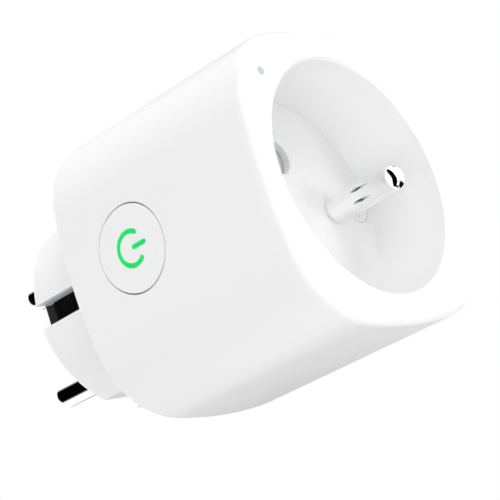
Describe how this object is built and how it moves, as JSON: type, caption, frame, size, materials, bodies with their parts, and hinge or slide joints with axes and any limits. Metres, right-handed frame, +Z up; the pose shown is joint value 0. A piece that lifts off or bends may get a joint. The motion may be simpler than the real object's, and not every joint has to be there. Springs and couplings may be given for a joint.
{
  "type": "smart plug",
  "caption": "Rounded-square adapter plug with a round socket recess and earth pin in front, a lit side button, and a round hub with pins behind.",
  "frame": {"origin": "centre of the pin face, the flat end of the rear hub that seats in a wall socket", "axes": "+Y into the wall along the pins, +Z up with the line pin above the neutral pin, +X to the right of a person facing the wall"},
  "size_m": [0.05, 0.0792, 0.05],
  "materials": {
    "shell": "satin white moulded polycarbonate",
    "icon": "translucent insert, lit green",
    "light_pipe": "clear acrylic, grey when unlit",
    "plated_pin": "nickel plated brass, bright",
    "plated_strip": "nickel plated strip",
    "screw_steel": "zinc plated steel",
    "shutter_grey": "blue grey acetal",
    "spring_steel": "drawn wire",
    "contact_brass": "stamped sheet",
    "carrier_plastic": "glass filled nylon",
    "board": "green solder mask",
    "relay_plastic": "blue moulded case",
    "relay_iron": "plated soft iron",
    "coil_copper": "enamelled copper winding",
    "capacitor_sleeve": "shrink sleeve",
    "film_box": "moulded box",
    "inductor_sleeve": "shrink sleeve",
    "varistor_coat": "dipped epoxy",
    "resistor_coat": "cement coat",
    "shield_can": "tinned steel",
    "chip_epoxy": "moulded epoxy",
    "switch_black": "moulded",
    "plunger_white": "moulded",
    "led_clear": "clear epoxy"
  },
  "bodies": {
    "root": {"outer_housing": "shell", "rear_cover": "shell", "cover_screws": "screw_steel", "socket_floor": "shell", "floor_screws": "screw_steel", "floor_screw_caps": "shell", "earth_pin": "plated_pin", "contact_carrier": "carrier_plastic", "shutter_spring": "spring_steel", "line_contact": "contact_brass", "neutral_contact": "contact_brass", "line_pin": "plated_pin", "neutral_pin": "plated_pin", "line_busbar": "contact_brass", "neutral_busbar": "contact_brass", "earth_bridge": "plated_strip", "earth_socket_sleeve": "contact_brass", "earth_link": "contact_brass", "main_pcb": "board", "relay_base": "relay_plastic", "relay_case": "relay_plastic", "relay_yoke": "relay_iron", "relay_bobbin": "carrier_plastic", "relay_coil": "coil_copper", "relay_fixed_contact": "contact_brass", "bulk_capacitor": "capacitor_sleeve", "film_capacitor": "film_box", "supply_inductor": "inductor_sleeve", "varistor": "varistor_coat", "fusible_resistor": "resistor_coat", "radio_module": "board", "radio_shield": "shield_can", "metering_chip": "chip_epoxy", "bridge_rectifier": "chip_epoxy", "switch_body": "switch_black", "button_board": "board", "button_leds": "led_clear", "board_header": "carrier_plastic", "status_light_pipe": "light_pipe", "led_board": "board", "status_led": "led_clear"},
    "button": {"power_button": "shell", "icon_light_guide": "icon"},
    "plunger": {"switch_plunger": "plunger_white"},
    "shutter": {"safety_shutter": "shutter_grey"},
    "armature": {"relay_armature": "relay_iron", "relay_moving_contact": "contact_brass"}
  },
  "joints": [
    {"name": "button_press", "type": "slide", "parent": "root", "child": "button", "axis": [1, 0, 0], "range_m": [0, 0.0004], "stiffness_N_per_m": 2500, "springref_m": -0.0006},
    {"name": "plunger_press", "type": "slide", "parent": "root", "child": "plunger", "axis": [1, 0, 0], "range_m": [0, 0.0004]},
    {"name": "shutter_slide", "type": "slide", "parent": "root", "child": "shutter", "axis": [1, 0, 0], "range_m": [0, 0.006], "stiffness_N_per_m": 120, "springref_m": -0.003, "deforming": ["shutter_spring"]},
    {"name": "armature_tilt", "type": "hinge", "parent": "root", "child": "armature", "pos_m": [0.0163, -0.034, 0.003], "axis": [1, 0, 0], "range_deg": [0, 3], "stiffness_Nm_per_rad": 0.05, "springref_deg": -3.44}
  ],
  "couplings": [
    {"joint": "plunger_press", "follows": "button_press", "ratio": 1}
  ]
}
